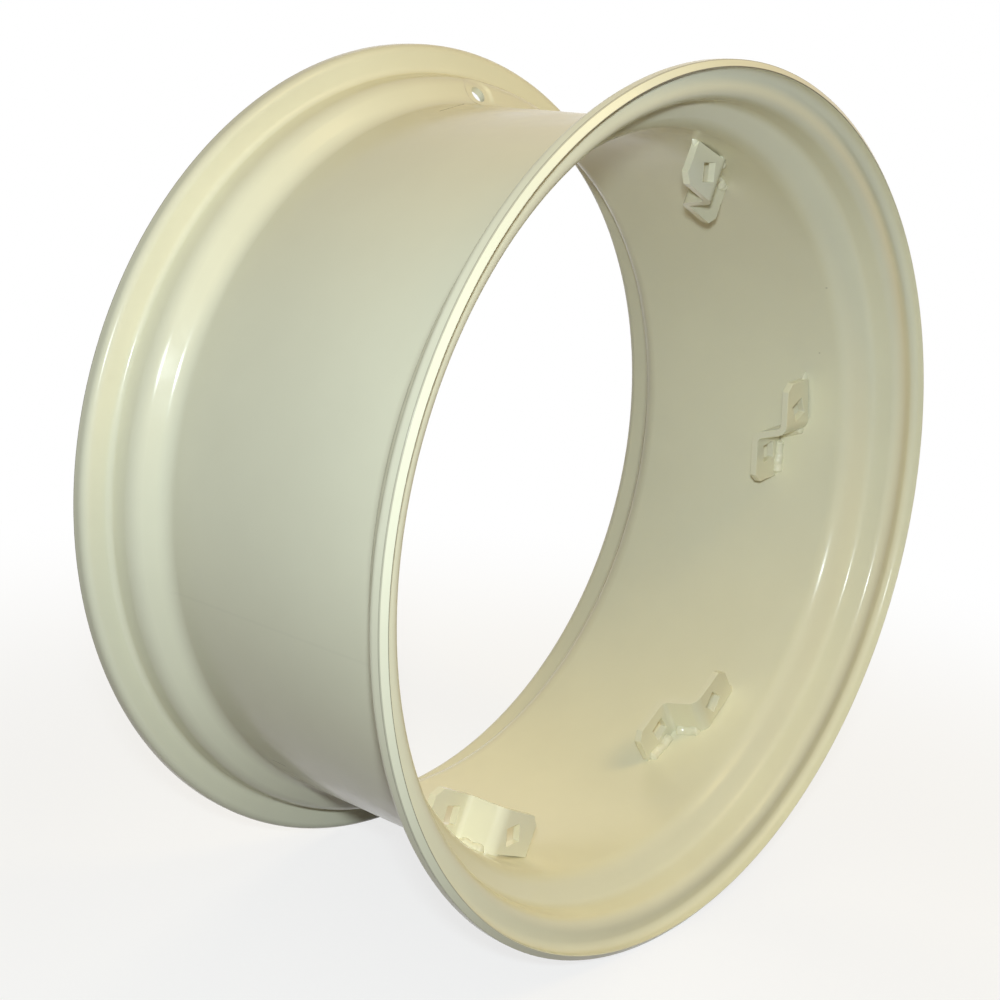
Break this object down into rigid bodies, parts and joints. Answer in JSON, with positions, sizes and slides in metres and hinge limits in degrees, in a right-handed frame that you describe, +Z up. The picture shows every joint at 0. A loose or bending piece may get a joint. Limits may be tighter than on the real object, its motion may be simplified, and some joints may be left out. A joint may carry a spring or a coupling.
{
  "type": "tractor wheel rim",
  "caption": "Painted steel drop-centre tractor wheel rim with curled flanges, a valve hole and stepped, square-holed lugs welded inside the well for bolting to a wheel disc.",
  "frame": {"origin": "middle of the wheel: on the axle line, half way between the flanges", "axes": "+Y along the axle, +Z up; the lugs' nearer ears face -Y"},
  "size_m": [0.762, 0.3614, 0.7619],
  "materials": {
    "ivory_paint": "gloss ivory enamel on rolled steel",
    "weld_paint": "gloss ivory enamel over rippled weld beads"
  },
  "bodies": {
    "root": {"rim": "ivory_paint", "lug_1": "ivory_paint", "lug_2": "ivory_paint", "lug_3": "ivory_paint", "lug_4": "ivory_paint", "lug_5": "ivory_paint", "lug_6": "ivory_paint", "weld_1": "weld_paint", "weld_2": "weld_paint", "weld_3": "weld_paint", "weld_4": "weld_paint", "weld_5": "weld_paint", "weld_6": "weld_paint"}
  },
  "joints": []
}
